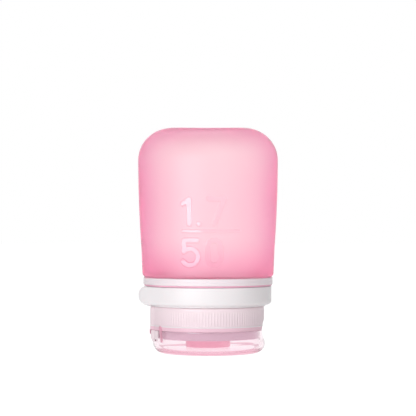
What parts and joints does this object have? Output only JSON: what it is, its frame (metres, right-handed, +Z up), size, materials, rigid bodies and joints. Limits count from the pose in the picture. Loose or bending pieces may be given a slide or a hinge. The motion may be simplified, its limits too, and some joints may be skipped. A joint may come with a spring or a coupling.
{
  "type": "travel silicone bottle",
  "caption": "Soft squeeze bottle standing on its clear flip lid: pink silicone body, white collar with a pull strap, ribbed screw cap and slit valve.",
  "frame": {"origin": "middle of the flip lid's flat outer face, on which the bottle stands", "axes": "+Z up along the bottle's axis to its base, -Y to the front, -X to the lid's hinge"},
  "size_m": [0.0454, 0.0454, 0.0726],
  "materials": {
    "pink_silicone": "matte translucent",
    "white_plastic": "satin",
    "frosted_plastic": "milky translucent",
    "seal_silicone": "matte",
    "clear_plastic": "clear polished"
  },
  "bodies": {
    "bottle": {"bottle_body": "pink_silicone", "clamp_ring": "white_plastic", "collar": "white_plastic"},
    "gasket": {"cap_gasket": "seal_silicone"},
    "cap": {"cap": "frosted_plastic", "slit_valve": "pink_silicone", "valve_retainer": "frosted_plastic", "hinge_film": "frosted_plastic", "hinge_springs": "frosted_plastic"},
    "lid": {"lid": "clear_plastic"},
    "strap": {"loop_strap": "white_plastic"}
  },
  "joints": [
    {"name": "cap_lift", "type": "slide", "parent": "bottle", "child": "gasket", "axis": [0, 0, -1], "range_m": [0, 0.00601]},
    {"name": "cap_turn", "type": "hinge", "parent": "gasket", "child": "cap", "pos_m": [0, 0, 0.0098], "axis": [0, 0, -1], "range_deg": [0, 720]},
    {"name": "lid_flip", "type": "hinge", "parent": "cap", "child": "lid", "pos_m": [-0.0187, 0, 0.0069], "axis": [0, 1, 0], "range_deg": [0, 150], "deforming": ["hinge_film", "hinge_springs"]},
    {"name": "strap_swing", "type": "hinge", "parent": "bottle", "child": "strap", "pos_m": [0.01893, 0.00507, 0.01845], "axis": [0, 0, 1], "range_deg": [0, 70]}
  ],
  "couplings": [
    {"joint": "cap_lift", "follows": "cap_turn", "m_per_rad": 0.00047746}
  ]
}
